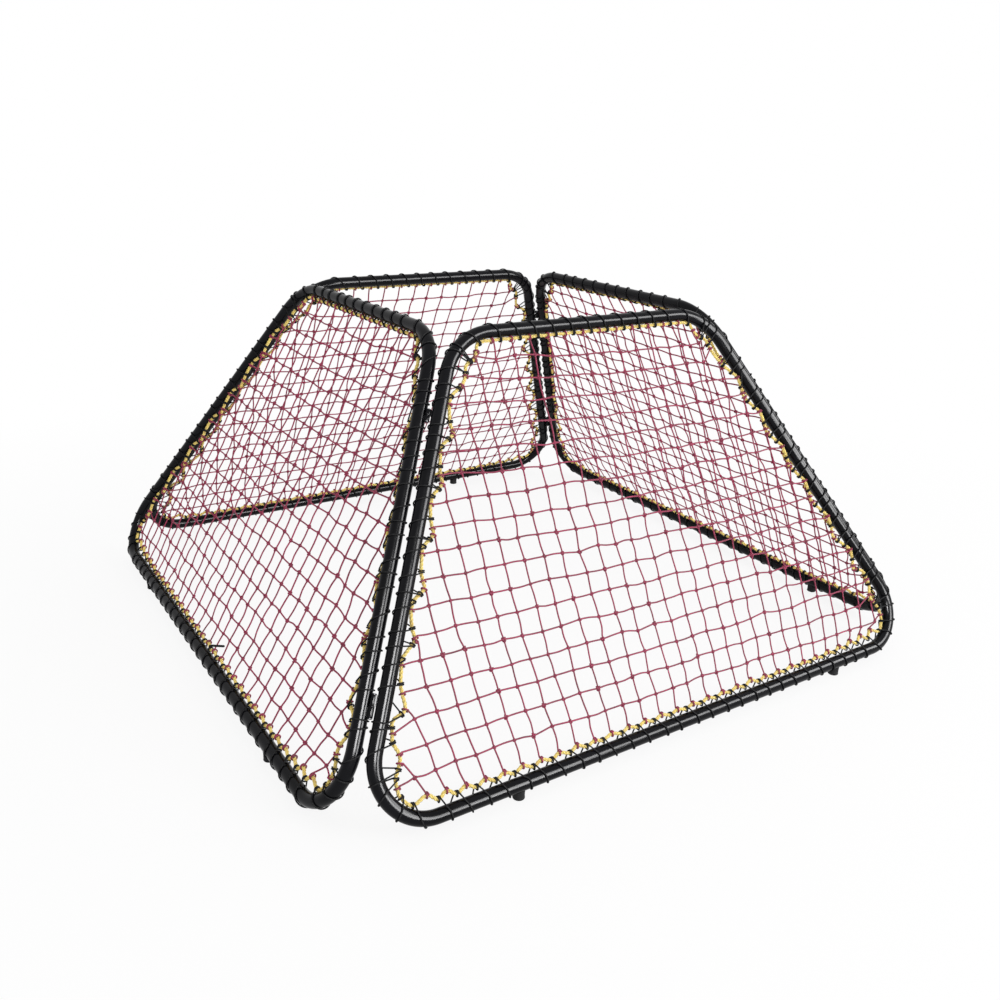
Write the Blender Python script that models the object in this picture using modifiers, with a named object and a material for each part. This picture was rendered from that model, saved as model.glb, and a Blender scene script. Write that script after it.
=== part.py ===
"""Four-sided rebound net: four leaning tube frames, hinged at the corners, each with a laced-in net."""
from math import acos, atan, atan2, cos, degrees, pi, radians, sin, sqrt

import bmesh
import bpy
from mathutils import Matrix, Vector

# Driving dimensions, in metres and radians.
TUBE_RADIUS = 0.014
BASE_WIDTH = 1.510           # between the side tubes' centrelines, at the bottom tube's centreline
PANEL_SLANT = 0.866          # from the bottom tube's centreline up the slope to the top tube's
LEAN = radians(29.0)         # of each panel, inwards from the vertical
TUBE_CLEARANCE = 0.0105      # between the neighbouring side tubes of two panels
BOTTOM_BEND_RADIUS = 0.098   # of the tube's centreline
TOP_BEND_RADIUS = 0.135

FOOT_RADIUS = 0.012
FOOT_DROP = 0.015            # of the foot's sole below the tube
FOOT_RISE = 0.006            # of the foot's horns beside the tube
FOOT_EDGE = 0.0025           # rounding of the sole's rim
FOOT_EDGE_STEPS = 2
FEET = {"front": (-0.427, 0.466), "right": (-0.454,), "back": (-0.350,),
        "left": (-0.438, 0.438)}  # along the bottom tube from the middle of the panel

CORD_RADIUS = 0.003
CORD_GAP = 0.010             # between the tube and the edge cord
LACE_RADIUS = 0.0012
LACE_CLEARANCE = 0.0019      # between the strand and a bend of the tube that it follows
LOOPS_BOTTOM = 3
LOOPS_SIDE = 2
LOOPS_TOP = 2
LACE_STAGGER = 0.1           # keeps the turns of neighbouring panels apart, as a share of their pitch
LACE_END_BOTTOM = 0.6        # left free at each end of the bottom run, as a share of the pitch
LACE_END_TOP = 0.15

NET_THICKNESS = 0.003
NET_STRAND = 0.0045
NET_COLUMN = 0.131           # column pitch of the net's gaps, each of which stands for three by three meshes
NET_ROWS = 6
SMALLEST_GAP = 0.0008        # square metres; smaller slivers at the border stay filled

LOWER_HINGE = 0.231          # up the side tube from its bottom corner to the middle of the hinge
UPPER_HINGE = 0.1790         # down the side tube from its top corner
LOWER_KNUCKLE = 0.0205       # length of one knuckle
UPPER_KNUCKLE = 0.0115
KNUCKLE_RADIUS = 0.005
KNUCKLE_WEB = 0.0078         # width of the web between knuckle and tube
HINGE_OFFSET = 0.007         # of the pin, outwards from the line between the tubes' centres
PIN_RADIUS = 0.003
PIN_HEAD_RADIUS = 0.0045
PIN_HEAD = 0.002             # thickness of the pin's heads

SEAT = 0.0003                # gap between a piece and the one that it sits on
FREE = 0.0004                # gap round the lacing

TUBE_SIDES = 12
TOP_BEND_STEPS = 5
BOTTOM_BEND_STEPS = 8
CORD_COARSER = 2             # steps fewer in each of the edge cord's bends
NET_COARSER = 3              # steps fewer in each bend of the net's border
LACE_BOTTOM_STEPS = 4
LACE_TOP_STEPS = 3
PIN_SIDES = 12
FOOT_SIDES = 16
KNUCKLE_SIDES = 16

# What follows from them.
TOP_WIDTH = BASE_WIDTH - 2 * PANEL_SLANT * sin(LEAN)
SIDE_SLOPE = atan((BASE_WIDTH - TOP_WIDTH) / (2 * PANEL_SLANT))
SIDE_LENGTH = PANEL_SLANT / cos(SIDE_SLOPE)
UPPER_STATION = SIDE_LENGTH - UPPER_HINGE
TUBE_SPACING = 2 * TUBE_RADIUS + TUBE_CLEARANCE
HALF_SQUARE = BASE_WIDTH / 2 + TUBE_SPACING / sqrt(2)
AXIS_HEIGHT = FOOT_DROP + TUBE_RADIUS
CORD_INSET = TUBE_RADIUS + CORD_GAP + CORD_RADIUS
CORD_WRAP = sqrt(2) * (CORD_RADIUS + LACE_RADIUS + FREE)
TUBE_WRAP = (TUBE_RADIUS + LACE_RADIUS + FREE) / cos(pi / 6)
NET_INSET = CORD_INSET + CORD_WRAP + LACE_RADIUS + FREE
PANELS = ("front", "right", "back", "left")
CORNERS = ("front_left", "front_right", "back_right", "back_left")


def clear_scene():
    for thing in list(bpy.data.objects):
        bpy.data.objects.remove(thing, do_unlink=True)


def new_collection(name):
    collection = bpy.data.collections.new(name)
    bpy.context.scene.collection.children.link(collection)
    return collection


def material(name, colour, roughness, metallic=0.0):
    made = bpy.data.materials.new(name)
    made.use_nodes = True
    shader = made.node_tree.nodes["Principled BSDF"]
    shader.inputs["Base Color"].default_value = (*colour, 1.0)
    shader.inputs["Roughness"].default_value = roughness
    shader.inputs["Metallic"].default_value = metallic
    return made


def place(name, data, matrix, pivot, finish):
    """Put a piece in the scene, under the empty that stands on its body's joint axis."""
    piece = bpy.data.objects.new(name, data)
    PARTS.objects.link(piece)
    if not data.materials:
        data.materials.append(finish)
    piece.parent = pivot
    piece.matrix_parent_inverse = pivot.matrix_basis.inverted()
    piece.matrix_basis = matrix
    return piece


# The panel, in its own plane: u along the bottom tube, v up the slope, and the outward normal.
def panel_matrix(index):
    across = Vector((1.0, 0.0, 0.0))
    upwards = Vector((0.0, sin(LEAN), cos(LEAN)))
    outwards = across.cross(upwards)
    turn = Matrix.Rotation(index * pi / 2, 4, "Z")
    basis = Matrix((across, upwards, outwards)).transposed().to_4x4()
    return turn @ Matrix.Translation((0.0, -HALF_SQUARE, AXIS_HEIGHT)) @ basis


def bends():
    """Each bend of the centreline: its centre, radius, first and last angle, and steps, anticlockwise."""
    slope = SIDE_SLOPE
    low = BASE_WIDTH / 2 - BOTTOM_BEND_RADIUS * (1 + sin(slope)) / cos(slope)
    high = TOP_WIDTH / 2 - TOP_BEND_RADIUS * (1 - sin(slope)) / cos(slope)
    top = PANEL_SLANT - TOP_BEND_RADIUS
    return [
        (Vector((low, BOTTOM_BEND_RADIUS)), BOTTOM_BEND_RADIUS, -pi / 2, slope, BOTTOM_BEND_STEPS),
        (Vector((high, top)), TOP_BEND_RADIUS, slope, pi / 2, TOP_BEND_STEPS),
        (Vector((-high, top)), TOP_BEND_RADIUS, pi / 2, pi - slope, TOP_BEND_STEPS),
        (Vector((-low, BOTTOM_BEND_RADIUS)), BOTTOM_BEND_RADIUS, pi - slope, 3 * pi / 2, BOTTOM_BEND_STEPS),
    ]


def bend_points(bend, inset, steps):
    centre, radius, first, last, _ = bend
    angles = [first + (last - first) * step / steps for step in range(steps + 1)]
    return [centre + (radius - inset) * Vector((cos(angle), sin(angle))) for angle in angles]


def outline(inset, coarser=0):
    """The tube's centreline moved inwards, as a closed line round the panel."""
    points = []
    for bend in bends():
        points += bend_points(bend, inset, bend[4] - coarser)
    return points


def tube_curve(name, points, radius, resolution, cyclic):
    curve = bpy.data.curves.new(name, "CURVE")
    curve.dimensions = "3D"
    curve.bevel_depth = radius
    curve.bevel_resolution = resolution
    curve.use_fill_caps = True
    spline = curve.splines.new("POLY")
    spline.points.add(len(points) - 1)
    for point, where in zip(spline.points, points):
        point.co = (*where, 1.0)
    spline.use_cyclic_u = cyclic
    spline.use_smooth = True
    return curve


def frame_curve(name):
    points = [(u, v, 0.0) for u, v in outline(0.0)]
    return tube_curve(name, points, TUBE_RADIUS, TUBE_SIDES // 2 - 2, True)


def edge_cord_curve(name):
    points = [(u, v, 0.0) for u, v in outline(CORD_INSET, CORD_COARSER)]
    return tube_curve(name, points, CORD_RADIUS, 2, True)


# The lacing: one strand that winds round the tube and the edge cord together.
def wrap_section():
    """One turn, seen along the tube: distance inwards from the tube's centre, and along the normal."""
    round_tube = [(TUBE_WRAP * cos(radians(a)), TUBE_WRAP * sin(radians(a))) for a in (90, 150, 210, 270)]
    over_cord = (CORD_INSET, CORD_WRAP)
    under_cord = (CORD_INSET, -CORD_WRAP)
    inside_cord = (CORD_INSET + CORD_WRAP, 0.0)
    return [over_cord] + round_tube + [under_cord, inside_cord]


def straight_wraps(start, end, centres, pitch):
    """The turns along one straight of the tube, then the step back over the cord."""
    along = (end - start).normalized()
    inwards = Vector((-along.y, along.x))
    section = wrap_section()
    middle = (len(section) - 1) / 2
    points = []
    for centre in centres:
        for index, (inset, rise) in enumerate(section):
            station = centre + pitch * (index - middle) / len(section)
            where = start + along * station + inwards * inset
            points.append((where.x, where.y, rise))
    station = centres[-1] + pitch * (len(section) - middle) / len(section)
    where = start + along * station + inwards * section[0][0]
    points.append((where.x, where.y, section[0][1]))
    return points


def even_centres(length, count, end):
    pitch = length / (count + 2 * end)
    return [pitch * (end + 0.5 + index) for index in range(count)], pitch


def hinge_centres(count, share):
    """Turns on a side tube are spread between its two hinges, measured up from the bottom corner."""
    pitch = (UPPER_STATION - LOWER_HINGE) / count
    return [LOWER_HINGE + pitch * (index + share) for index in range(count)], pitch


def lacing_points():
    run = TUBE_RADIUS + LACE_CLEARANCE + LACE_RADIUS
    arcs = bends()
    ends = [bend_points(arc, 0.0, 1) for arc in arcs]
    corner = [Vector((BASE_WIDTH / 2, 0.0)), Vector((-TOP_WIDTH / 2, PANEL_SLANT))]
    up_centres, side_pitch = hinge_centres(LOOPS_SIDE, 0.5 - LACE_STAGGER)
    left_centres, side_pitch = hinge_centres(LOOPS_SIDE, 0.5 + LACE_STAGGER)
    down_centres = [SIDE_LENGTH - centre for centre in reversed(left_centres)]
    bottom_centres, bottom_pitch = even_centres((ends[0][0] - ends[3][1]).length, LOOPS_BOTTOM, LACE_END_BOTTOM)
    top_centres, top_pitch = even_centres((ends[2][0] - ends[1][1]).length, LOOPS_TOP, LACE_END_TOP)
    points = straight_wraps(ends[3][1], ends[0][0], bottom_centres, bottom_pitch)
    points += [(*where, 0.0) for where in bend_points(arcs[0], run, LACE_BOTTOM_STEPS)]
    points += straight_wraps(corner[0], ends[1][0], up_centres, side_pitch)
    points += [(*where, 0.0) for where in bend_points(arcs[1], run, LACE_TOP_STEPS)]
    points += straight_wraps(ends[1][1], ends[2][0], top_centres, top_pitch)
    points += [(*where, 0.0) for where in bend_points(arcs[2], run, LACE_TOP_STEPS)]
    points += straight_wraps(corner[1], ends[3][0], down_centres, side_pitch)
    points += [(*where, 0.0) for where in bend_points(arcs[3], run, LACE_BOTTOM_STEPS)]
    return points


def least_gap(points, radius, samples=10):
    """Smallest clear distance between stretches of the strand that aren't next to each other."""
    ends = [Vector(point) for point in points]
    dots = []
    for index in range(len(ends) - 1):
        for step in range(samples):
            dots.append((index, ends[index].lerp(ends[index + 1], step / samples)))
    least = 1.0
    for first, (index, here) in enumerate(dots):
        for other, there in dots[first + 1:]:
            if other - index > 1:
                least = min(least, (here - there).length)
    return least - 2 * radius


def lacing_curve(name):
    return tube_curve(name, lacing_points(), LACE_RADIUS, 1, False)


# The net: a flat sheet with square gaps, held inside the edge cord.
def clip(polygon, inside, crossing):
    kept = []
    for index, here in enumerate(polygon):
        before = polygon[index - 1]
        if inside(here) != inside(before):
            kept.append(crossing(before, here))
        if inside(here):
            kept.append(here)
    return kept


def clip_to(polygon, border):
    """The part of a polygon that lies inside a convex border, which runs anticlockwise."""
    for index, end in enumerate(border):
        start = border[index - 1]
        normal = Vector((start.y - end.y, end.x - start.x)).normalized()

        def depth(point, start=start, normal=normal):
            return (point - start).dot(normal)

        def crossing(before, here):
            share = depth(before) / (depth(before) - depth(here))
            return before.lerp(here, share)

        polygon = clip(polygon, lambda point: depth(point) > 0, crossing)
    return polygon


def area(polygon):
    total = 0.0
    for index, here in enumerate(polygon):
        before = polygon[index - 1]
        total += before.x * here.y - here.x * before.y
    return total / 2


def net_gaps():
    inner = NET_INSET + NET_STRAND
    border = outline(inner, NET_COARSER)
    row_height = (PANEL_SLANT - 2 * inner + NET_STRAND) / NET_ROWS
    columns = int(BASE_WIDTH / NET_COLUMN) + 1
    half = NET_STRAND / 2
    gaps = []
    for row in range(NET_ROWS):
        low = inner + row * row_height - (NET_STRAND if row == 0 else 0.0)
        high = inner + (row + 1) * row_height - (0.0 if row == NET_ROWS - 1 else NET_STRAND)
        for column in range(-columns, columns):
            left = column * NET_COLUMN
            right = left + NET_COLUMN - half
            corners = ((left + half, low), (right, low), (right, high), (left + half, high))
            gap = clip_to([Vector(corner) for corner in corners], border)
            if len(gap) > 2 and area(gap) > SMALLEST_GAP:
                gaps.append(gap)
    return gaps


def net_curve(name):
    curve = bpy.data.curves.new(name, "CURVE")
    curve.dimensions = "2D"
    curve.fill_mode = "BOTH"
    curve.extrude = NET_THICKNESS / 2
    for ring in [outline(NET_INSET, NET_COARSER)] + net_gaps():
        spline = curve.splines.new("POLY")
        spline.points.add(len(ring) - 1)
        for point, where in zip(spline.points, ring):
            point.co = (where.x, where.y, 0.0, 1.0)
        spline.use_cyclic_u = True
    return curve


# Solids that are cut or joined.
def cylinder_mesh(name, radius, bottom, top, sides):
    made = bmesh.new()
    bmesh.ops.create_cone(made, cap_ends=True, segments=sides, radius1=radius, radius2=radius,
                          depth=top - bottom)
    bmesh.ops.translate(made, verts=made.verts, vec=(0.0, 0.0, (top + bottom) / 2))
    mesh = bpy.data.meshes.new(name)
    made.to_mesh(mesh)
    made.free()
    return mesh


def box_mesh(name, low, high):
    made = bmesh.new()
    bmesh.ops.create_cube(made, size=1.0)
    size = Vector(high) - Vector(low)
    bmesh.ops.scale(made, verts=made.verts, vec=size)
    bmesh.ops.translate(made, verts=made.verts, vec=(Vector(high) + Vector(low)) / 2)
    mesh = bpy.data.meshes.new(name)
    made.to_mesh(mesh)
    made.free()
    return mesh


def combined(name, base, steps):
    """The base mesh after a list of (operation, mesh, matrix) steps, as one new mesh."""
    body = bpy.data.objects.new(name + "_base", base)
    CUTTERS.objects.link(body)
    helpers = []
    for index, (operation, mesh, matrix) in enumerate(steps):
        helper = bpy.data.objects.new(name + "_helper_" + str(index), mesh)
        helper.matrix_basis = matrix
        helper.hide_render = True
        helper.display_type = "WIRE"
        CUTTERS.objects.link(helper)
        helpers.append(helper)
        boolean = body.modifiers.new(operation.lower(), "BOOLEAN")
        boolean.operation = operation
        boolean.solver = "EXACT"
        boolean.object = helper
    bpy.context.view_layer.update()
    evaluated = body.evaluated_get(bpy.context.evaluated_depsgraph_get())
    mesh = bpy.data.meshes.new_from_object(evaluated)
    mesh.name = name
    mesh.materials.clear()
    for thing in [body] + helpers:
        bpy.data.objects.remove(thing, do_unlink=True)
    mesh.shade_smooth()
    mesh.set_sharp_from_angle(angle=radians(30.0))
    return mesh


def foot_mesh():
    """A round stub from the floor up to the tube, hollowed to sit on it; its origin is on the tube's axis."""
    made = bmesh.new()
    sole = -AXIS_HEIGHT
    top = -TUBE_RADIUS + FOOT_RISE
    bmesh.ops.create_cone(made, cap_ends=True, segments=FOOT_SIDES, radius1=FOOT_RADIUS, radius2=FOOT_RADIUS,
                          depth=top - sole)
    bmesh.ops.translate(made, verts=made.verts, vec=(0.0, 0.0, (top + sole) / 2))
    rim = [edge for edge in made.edges if all(vert.co.z < sole + SEAT for vert in edge.verts)]
    bmesh.ops.bevel(made, geom=rim, offset=FOOT_EDGE, segments=FOOT_EDGE_STEPS, profile=0.5, affect="EDGES")
    base = bpy.data.meshes.new("foot_base")
    made.to_mesh(base)
    made.free()
    reach = 2 * FOOT_RADIUS
    tube = cylinder_mesh("foot_seat", TUBE_RADIUS + SEAT, -reach, reach, 2 * TUBE_SIDES)
    return combined("foot", base, [("DIFFERENCE", tube, Matrix.Rotation(pi / 2, 4, "Y"))])


# The hinges. At a corner z runs up the edge, x across the gap and y inwards.
def corner_matrix(index):
    """The pin's axis at a corner, with its origin level with the bottom corners of the two side tubes."""
    edge = Vector((sin(LEAN), sin(LEAN), cos(LEAN))).normalized()
    across = Vector((1.0, -1.0, 0.0)).normalized()
    inwards = edge.cross(across)
    middle = Vector((-(BASE_WIDTH / 2 + HALF_SQUARE) / 2, -(BASE_WIDTH / 2 + HALF_SQUARE) / 2, AXIS_HEIGHT))
    basis = Matrix((across, inwards, edge)).transposed().to_4x4()
    turn = Matrix.Rotation(index * pi / 2, 4, "Z")
    return turn @ Matrix.Translation(middle - inwards * HINGE_OFFSET) @ basis


def knuckle_mesh(name, length, side, hook):
    """A knuckle from z = 0 to length on the tube at side (1 or -1); a hook is open towards the other tube."""
    tube_centre = Vector((side * TUBE_SPACING / 2, HINGE_OFFSET, 0.0))
    heading = Matrix.Rotation(atan2(tube_centre.y, tube_centre.x), 4, "Z")
    over = length / 2
    barrel = cylinder_mesh(name + "_barrel", KNUCKLE_RADIUS, 0.0, length, KNUCKLE_SIDES)
    half_web = KNUCKLE_WEB / 2
    web_end = tube_centre.length - TUBE_RADIUS / 2
    web = box_mesh(name + "_web", (0.0, -half_web, 0.0), (web_end, half_web, length))
    tube = cylinder_mesh(name + "_seat", TUBE_RADIUS + SEAT, -over, length + over, 4 * TUBE_SIDES)
    bore = cylinder_mesh(name + "_bore", PIN_RADIUS + SEAT, -over, length + over, KNUCKLE_SIDES)
    steps = [("UNION", web, heading),
             ("DIFFERENCE", tube, Matrix.Translation(tube_centre)),
             ("DIFFERENCE", bore, Matrix.Identity(4))]
    if hook:
        wide = 2 * KNUCKLE_RADIUS
        away = (-wide, -wide, -over)
        mouth = box_mesh(name + "_mouth", away, (0.0, wide, length + over))
        steps.append(("DIFFERENCE", mouth, Matrix.Rotation(0.0 if side > 0 else pi, 4, "Z")))
    return combined(name, barrel, steps)


def pin_mesh(name, length):
    """A headed pin along z, centred, as a turned profile."""
    end = length / 2
    neck = end - PIN_HEAD
    profile = [(0.0, end), (PIN_HEAD_RADIUS, end), (PIN_HEAD_RADIUS, neck), (PIN_RADIUS, neck),
               (PIN_RADIUS, -neck), (PIN_HEAD_RADIUS, -neck), (PIN_HEAD_RADIUS, -end), (0.0, -end)]
    mesh = bpy.data.meshes.new(name)
    mesh.from_pydata([(x, 0.0, z) for x, z in profile], [(i, i + 1) for i in range(len(profile) - 1)], [])
    return mesh


def turn_profile(piece):
    screw = piece.modifiers.new("turn", "SCREW")
    screw.axis = "Z"
    screw.steps = PIN_SIDES
    screw.render_steps = PIN_SIDES
    screw.use_merge_vertices = True
    screw.merge_threshold = 0.00001
    screw.use_smooth_shade = False


def pivot_empty(name, where):
    empty = bpy.data.objects.new(name, None)
    empty.matrix_basis = Matrix.Translation(where)
    empty.empty_display_size = 0.05
    PARTS.objects.link(empty)
    return empty


def build_panels(pivots):
    gap = least_gap(lacing_points(), LACE_RADIUS)
    print("least gap of the lacing to itself: %.2f mm" % (gap * 1000))
    print("gaps in a net: %d" % len(net_gaps()))
    frame = frame_curve("frame")
    net = net_curve("net")
    cord = edge_cord_curve("edge_cord")
    lacing = lacing_curve("lacing")
    foot = foot_mesh()
    for index, side in enumerate(PANELS):
        matrix = panel_matrix(index)
        pivot = pivots[side]
        place(side + "_frame", frame, matrix, pivot, BLACK_STEEL)
        place(side + "_net", net, matrix, pivot, MAROON_TWINE)
        place(side + "_edge_cord", cord, matrix, pivot, YELLOW_CORD)
        place(side + "_lacing", lacing, matrix, pivot, BLACK_CORD)
        for which, along in enumerate(FEET[side]):
            turn = Matrix.Rotation(index * pi / 2, 4, "Z")
            seat = turn @ Matrix.Translation((along, -HALF_SQUARE, AXIS_HEIGHT))
            place(side + "_foot_" + str(which + 1), foot, seat, pivot, BLACK_RUBBER)


def build_hinges(pivots):
    """Each corner has two hinges; the pin stays in the knuckle of the panel named first in holders."""
    holders = {"front_left": ("front", "left", 1), "front_right": ("front", "right", -1),
               "back_right": ("right", "back", -1), "back_left": ("left", "back", 1)}
    levels = (("lower", LOWER_HINGE, LOWER_KNUCKLE), ("upper", UPPER_STATION, UPPER_KNUCKLE))
    for level, station, length in levels:
        meshes = {}
        for side in (1, -1):
            for hook in (False, True):
                name = "%s_knuckle_%s_%s" % (level, "a" if side > 0 else "b", "hook" if hook else "eye")
                meshes[side, hook] = knuckle_mesh(name, length, side, hook)
        pin = pin_mesh(level + "_pin", 2 * length + 3 * SEAT + 2 * PIN_HEAD)
        for index, corner in enumerate(CORNERS):
            holder, turner, side = holders[corner]
            frame = corner_matrix(index)
            middle = Matrix.Translation((0.0, 0.0, station))
            above = Matrix.Translation((0.0, 0.0, station + SEAT / 2))
            below = Matrix.Translation((0.0, 0.0, station - SEAT / 2 - length))
            name = corner + "_" + level
            hook = corner == "back_left"
            place(name + "_pin_knuckle", meshes[side, False], frame @ above, pivots[holder], BLACK_STEEL)
            turning = name + ("_hook" if hook else "_knuckle")
            place(turning, meshes[-side, hook], frame @ below, pivots[turner], BLACK_STEEL)
            pin_piece = place(name + "_pin", pin, frame @ middle, pivots[holder], DARK_STEEL)
            turn_profile(pin_piece)


clear_scene()
PARTS = new_collection("rebound_net")
CUTTERS = new_collection("cutters")
BLACK_STEEL = material("black_steel", (0.018, 0.018, 0.020), 0.28)
BLACK_CORD = material("black_cord", (0.012, 0.012, 0.013), 0.85)
BLACK_RUBBER = material("black_rubber", (0.020, 0.020, 0.022), 0.70)
MAROON_TWINE = material("maroon_twine", (0.30, 0.018, 0.075), 0.75)
YELLOW_CORD = material("yellow_cord", (0.78, 0.55, 0.09), 0.80)
DARK_STEEL = material("dark_steel", (0.06, 0.06, 0.065), 0.40, 1.0)

PIVOTS = {
    "front": pivot_empty("front_panel_base", (0.0, -HALF_SQUARE, AXIS_HEIGHT)),
    "left": pivot_empty("left_panel_pivot", corner_matrix(0).translation),
    "right": pivot_empty("right_panel_pivot", corner_matrix(1).translation),
    "back": pivot_empty("back_panel_pivot", corner_matrix(2).translation),
}
build_panels(PIVOTS)
build_hinges(PIVOTS)
bpy.context.view_layer.update()
print("two panels lie flat after opening by %.2f degrees" % degrees(acos(sin(LEAN) ** 2)))
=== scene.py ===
"""Looks of the four-sided rebound net: tubes, netting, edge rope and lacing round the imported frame."""
from collections import namedtuple
from math import acos, atan, cos, exp, pi, radians, sin, sqrt, tau

import bpy
import numpy as np
from mathutils import Matrix, Vector
from numpy.linalg import norm

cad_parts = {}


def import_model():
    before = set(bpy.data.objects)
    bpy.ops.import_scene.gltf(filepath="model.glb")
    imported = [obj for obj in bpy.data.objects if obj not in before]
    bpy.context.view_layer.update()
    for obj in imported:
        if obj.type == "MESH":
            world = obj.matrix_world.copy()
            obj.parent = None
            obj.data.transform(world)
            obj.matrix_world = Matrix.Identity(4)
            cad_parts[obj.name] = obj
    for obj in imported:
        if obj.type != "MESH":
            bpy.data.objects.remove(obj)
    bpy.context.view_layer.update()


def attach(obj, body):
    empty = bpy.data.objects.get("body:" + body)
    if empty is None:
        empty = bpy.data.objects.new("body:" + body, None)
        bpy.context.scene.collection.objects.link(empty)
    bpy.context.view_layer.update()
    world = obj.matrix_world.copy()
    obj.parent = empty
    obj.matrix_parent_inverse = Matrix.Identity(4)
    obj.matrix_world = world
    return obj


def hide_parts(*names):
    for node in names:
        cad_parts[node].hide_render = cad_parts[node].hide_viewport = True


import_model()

# Sizes of the frame, in metres and radians, as the solids have them
TUBE_RADIUS = 0.014
BASE_WIDTH = 1.510  # between the side tubes' centrelines, at the bottom tube's
PANEL_SLANT = 0.866  # from the bottom tube's centreline up the slope to the top tube's
LEAN = radians(29.0)  # of each panel, inwards from the vertical
TUBE_CLEARANCE = 0.0105  # between two panels' side tubes
BOTTOM_BEND_RADIUS = 0.098
TOP_BEND_RADIUS = 0.135
FOOT_DROP = 0.015  # of the foot's sole below the tube
FOOT_RADIUS = 0.012
FEET = {"front": (-0.427, 0.466), "right": (-0.454,), "back": (-0.350,), "left": (-0.438, 0.438)}
LOWER_HINGE = 0.231  # up the side tube from its bottom corner
UPPER_HINGE = 0.1790  # down the side tube from its top corner
LOWER_KNUCKLE = 0.0205  # length of one knuckle
UPPER_KNUCKLE = 0.0115
KNUCKLE_RADIUS = 0.005
KNUCKLE_WEB = 0.0078
HINGE_OFFSET = 0.007  # of the pin's axis outside the two tubes' centrelines
PIN_RADIUS = 0.003
PIN_HEAD_RADIUS = 0.0045
PIN_HEAD = 0.002
SEAT = 0.0003  # gap between a pin and its knuckle, and between the knuckles
TUBE_SPACING = 2 * TUBE_RADIUS + TUBE_CLEARANCE
TOP_WIDTH = BASE_WIDTH - 2 * PANEL_SLANT * sin(LEAN)
SIDE_SLOPE = atan((BASE_WIDTH - TOP_WIDTH) / (2 * PANEL_SLANT))
SIDE_LENGTH = PANEL_SLANT / cos(SIDE_SLOPE)
HALF_SQUARE = BASE_WIDTH / 2 + TUBE_SPACING / sqrt(2)
AXIS_HEIGHT = FOOT_DROP + TUBE_RADIUS
PANELS = ("front", "right", "back", "left")
LEVELS = (("lower", LOWER_HINGE, LOWER_KNUCKLE), ("upper", SIDE_LENGTH - UPPER_HINGE, UPPER_KNUCKLE))
# At each corner, the panel that holds the pins, the one that turns on them, and the first one's side
HINGES = {"front_left": ("front", "left", 1), "front_right": ("front", "right", -1),
          "back_right": ("right", "back", -1), "back_left": ("left", "back", 1)}
OPEN_CORNER = "back_left"  # where hooks lie round the pins
TOUCH = 0.0002  # between pieces that lie on each other

# The grid of the netting
TWINE_RADIUS = 0.0017
ROWS = 17
COLUMNS = 15  # on each side of the middle, at the bottom
TOP_COLUMNS = 7
FIRST_ROW = 0.0716  # up the slope from the bottom tube's centreline
ROW_PITCH = 0.0454
COLUMN_PITCH = 0.04677
BOTTOM_NARROWING = 0.00287  # of the columns' pitch at the lowest row, gone a few rows up
NARROWING_ROWS = 4.0
OUTER_NARROWING = 3.0e-6  # by the square of the column's number
UPPER_NARROWING = 5.0e-5  # for each row up
ROW_CURVE = (-0.011, 0.0060)  # how a row rises to the sides: the lowest, and more for each row up
SKEW = {"front": (-0.0182, -0.00116), "right": (0.0158, 0.00188), "back": (-0.0060, 0.00080),
        "left": (0.0063, -0.00032)}  # how the rows tilt, in the same way
KNOT_SLACK = (0.0015, 0.0015, 0.0012)  # of a knot by chance: across, up the slope and out of the plane
BELLY = 0.004  # sag of the middle to the inside
WAVE = 0.0008  # of the slow waves in a row
LONG_WAVE = 4.0  # radians of each from the middle to the side tube
SHORT_WAVE = 9.0
OUTER_PULL = 0.005  # of the outermost right-hand knots towards the tube

# The rope at the net's edge
ROPE_RADIUS = 0.0037
ROPE_LAY = 0.024  # length of one turn of the rope's strands
BOTTOM_DRAW = 0.0154  # how far the outermost column's end is drawn in along the bottom rope
BETWEEN_DRAW = 0.9  # share of that between two columns
ROPE_PEAK = 0.0280  # of the bottom rope above the tube's centreline, at a column
ROPE_VALLEY = 0.0213  # and between two columns
CORNER_RISE = 0.0140  # more at the outermost columns
CORNER_START = 0.65  # share of the way out where that rise begins
VALLEY_RISE = 0.4  # share of that rise between two columns
TOP_PEAK = 0.0192  # of the top rope below the tube's centreline, at a column
TOP_VALLEY = 0.0182
PEAK_SLACK = 0.0010  # by chance, of the bottom rope up or down
VALLEY_SLACK = 0.0012  # and along
TOP_PEAK_SLACK = 0.0006
TOP_VALLEY_SLACK = 0.0010
FIRST_STEP = 3  # the row at which the steps up a side begin
ROW_INSET = 0.0018  # of the rope at a step's lower row, inwards from the corner below
LOWER_TIE = 0.4  # of a step above its lower row, in rows
LOWER_TIE_INSET = 0.0290  # from the tube's centreline, of the line that it is drawn half-way to
SIDE_NEAR = 0.0192  # of the rope from the side tube's centreline at a step's upper row, across
NEAR_SLACK = 0.0020  # at most, by chance
TIE_SLACK = 0.0015  # at most, of the tie above the upper row
TIE_SHIFT = 0.08  # at most, of that tie up or down, in rows
END_SHIFT = 0.10  # at most, of the column's end above it, in rows
# A step of the rope on the left and on the right side: its tie above its upper row, in rows, and what share
# of the way inwards; the column's end above that row, and the rope's corner outside it; and how far above
# its own height the lower row ends.
Step = namedtuple("Step", "tie_height tie_share end_height outside row_lift")
STEPS = {-1: Step(0.32, 0.0, 0.76, 0.0025, 0.0), 1: Step(0.30, 0.23, 0.90, 0.0050, 0.08)}
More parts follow.
